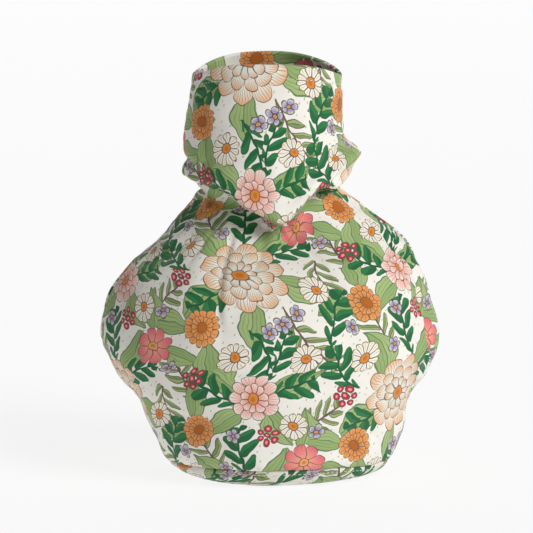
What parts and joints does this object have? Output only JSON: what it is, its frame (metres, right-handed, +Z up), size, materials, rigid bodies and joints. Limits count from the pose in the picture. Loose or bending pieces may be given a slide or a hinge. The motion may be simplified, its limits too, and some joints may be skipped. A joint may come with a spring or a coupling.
{
  "type": "tea cosy",
  "caption": "Fitted cloth cover for a tea pot, printed all over with flowers, with a drawn-in neck, a standing collar and open slots for the spout and the handle.",
  "frame": {"origin": "on the surface it stands on, midway between its left and right and between its front and back", "axes": "+Z up; +X towards the handle's side; -Y towards the front, which faces the viewer"},
  "size_m": [0.2028, 0.1642, 0.25],
  "materials": {
    "printed_cotton": "matt printed cotton over thin wadding",
    "band_cotton": "matt printed cotton over thin wadding"
  },
  "bodies": {
    "root": {"front_panel": "printed_cotton", "back_panel": "printed_cotton", "base_band": "band_cotton"}
  },
  "joints": []
}
